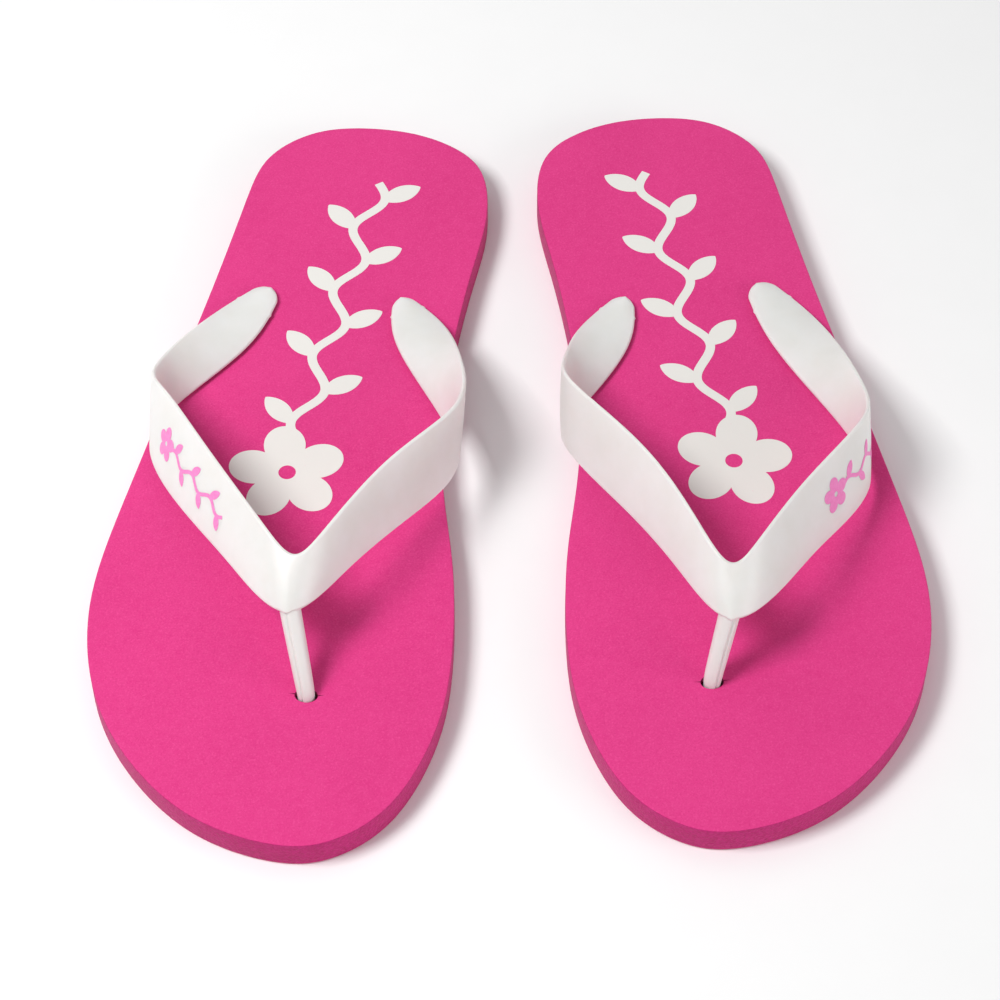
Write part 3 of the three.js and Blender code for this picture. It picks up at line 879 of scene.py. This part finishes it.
def strap_ink():
    """Light pink ink on the strap, a little uneven all over."""
    ink = Surface("strap_ink", Coat_Weight=0.1, Coat_Roughness=0.3)
    unevenness = ink.ramp(ink.noise(0.001, 4), 0.35, 0.7)
    ink.feed("Base Color", ink.mix(unevenness, linear(238, 116, 188), linear(244, 138, 200)))
    ink.roughness(0.002, 0.38, 0.5)
    ink.feed("Normal", ink.bump(ink.noise(0.0006, 3), 0.00003, 0.25))
    return ink.material


def floor_paper():
    """Plain pale paper, with no visible pattern."""
    paper = Surface("floor_paper", Specular_IOR_Level=0.1)
    paper.feed("Base Color", paper.mix(paper.noise(0.02, 2), (0.93, 0.93, 0.93, 1),
                                       (0.95, 0.95, 0.95, 1)))
    paper.roughness(0.01, 0.9, 0.98)
    return paper.material


# ---- Assembly --------------------------------------------------------------------------------

def joint_of(shoe):
    name = f"{shoe['name']}_flex"
    return next(joint for joint in frame["joints"] if joint["name"] == name)


def shoe_matrix(shoe):
    """From the right shoe's own frame in millimetres to this shoe's place in metres. The flex
    joint's axis gives the shoe's turn, and its anchor is on the flex line's middle."""
    joint = joint_of(shoe)
    turn = math.atan2(joint["axis"][1], joint["axis"][0])
    rotation = Matrix.Rotation(turn, 4, "Z")
    anchor = Vector(joint["pos_m"])
    anchor.z = 0
    centre = anchor - rotation @ Vector((0, FLEX_LINE_Y * MM, 0))
    mirror = Matrix.Diagonal((shoe["side"] * MM, MM, MM, 1))
    return Matrix.Translation(centre) @ rotation @ mirror


def set_down(piece, name, shoe, materials):
    """Puts a drawn solid in its place in the pair, with its name, shading and materials."""
    piece.data.transform(shoe_matrix(shoe))
    finished(piece)
    piece.name = f"{shoe['name']}_{name}"
    piece.data.name = piece.name
    piece.data.materials.clear()
    for material in materials:
        piece.data.materials.append(material)
    piece.data.shade_smooth()
    piece.data.set_sharp_from_angle(angle=math.radians(PIECES[name]["sharp_degrees"]))


def hinge(piece, shoe):
    """Bakes the piece's object transform into its mesh; the shoe's matrix is worked out but not
    used, and nothing bends here.
    """
    place = shoe_matrix(shoe)
    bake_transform(piece)


def paint_sole(piece):
    """Skin on the footbed, cut foam darkened partly with painted shade on the wall and in the
    holes, tread underneath.
    """
    skin, cut, tread = range(3)
    for face in piece.data.polygons:
        upwards = face.normal.z
        height = face.center.z / MM
        if upwards > LEVEL_ENOUGH and height > SOLE_THICKNESS - SKIN_DEPTH:
            face.material_index = skin
        elif upwards < -LEVEL_ENOUGH or height < TREAD_DEPTH:
            face.material_index = tread
        else:
            face.material_index = cut


def build_shoe(shoe, materials):
    """Each drawn solid is set down and stands for the frame's nodes that it replaces."""
    surface = strap_surface(shoe["strap"])
    drawn = {
        "sole": sole_solid(surface),
        "moulded_strap": strap_solid(surface),
        "footbed_flower": footbed_print(),
        "strap_flower": strap_print(surface, shoe),
    }
    for name, piece in drawn.items():
        set_down(piece, name, shoe, materials[name])
        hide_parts(*[f"{shoe['name']}_{node}" for node in PIECES[name]["nodes"]])
        hinge(piece, shoe)
    paint_sole(drawn["sole"])


# ---- Stage -----------------------------------------------------------------------------------

def place_camera():
    camera = bpy.data.objects.new("camera", bpy.data.cameras.new("camera"))
    bpy.context.scene.collection.objects.link(camera)
    elevation = math.radians(CAMERA_ELEVATION)
    back = Vector((0, -math.cos(elevation), math.sin(elevation)))
    camera.location = CAMERA_TARGET + back * CAMERA_DISTANCE
    camera.rotation_euler = (math.pi / 2 - elevation, 0, 0)
    camera.data.lens = CAMERA_LENS_MM
    camera.data.sensor_width = CAMERA_SENSOR_MM
    camera.data.dof.use_dof = False
    bpy.context.scene.camera = camera


def place_floor():
    half = FLOOR_HALF_SIZE
    corners = [(-half, -half), (half, -half), (half, half), (-half, half)]
    mesh = bpy.data.meshes.new("floor")
    mesh.from_pydata([(x, y, -FLOOR_GAP) for x, y in corners], [], [(0, 1, 2, 3)])
    mesh.materials.append(floor_paper())
    floor = bpy.data.objects.new("floor", mesh)
    bpy.context.scene.collection.objects.link(floor)


def place_light(name, direction, distance, size, watts):
    """Square soft light that looks at the middle of the pair from the given direction."""
    light = bpy.data.lights.new(name, "AREA")
    light.size = size
    light.energy = watts
    lamp = bpy.data.objects.new(name, light)
    towards = Vector(direction).normalized()
    lamp.location = towards * distance
    lamp.rotation_euler = towards.to_track_quat("Z", "Y").to_euler()
    bpy.context.scene.collection.objects.link(lamp)


def light_studio():
    world = bpy.data.worlds.new("studio")
    world.use_nodes = True
    background = world.node_tree.nodes["Background"]
    background.inputs["Color"].default_value = (1, 1, 1, 1)
    background.inputs["Strength"].default_value = WORLD_STRENGTH
    bpy.context.scene.world = world
    bpy.context.scene.view_settings.view_transform = "Standard"
    for name, light in LIGHTS.items():
        place_light(name, **light)


place_camera()
place_floor()
light_studio()

MATERIALS = {
    "sole": [foam_skin(), foam_cut_with_painted_shade(), foam_tread()],
    "moulded_strap": [strap_vinyl()],
    "footbed_flower": [footbed_ink()],
    "strap_flower": [strap_ink()],
}
for made_shoe in SHOES:
    build_shoe(made_shoe, MATERIALS)
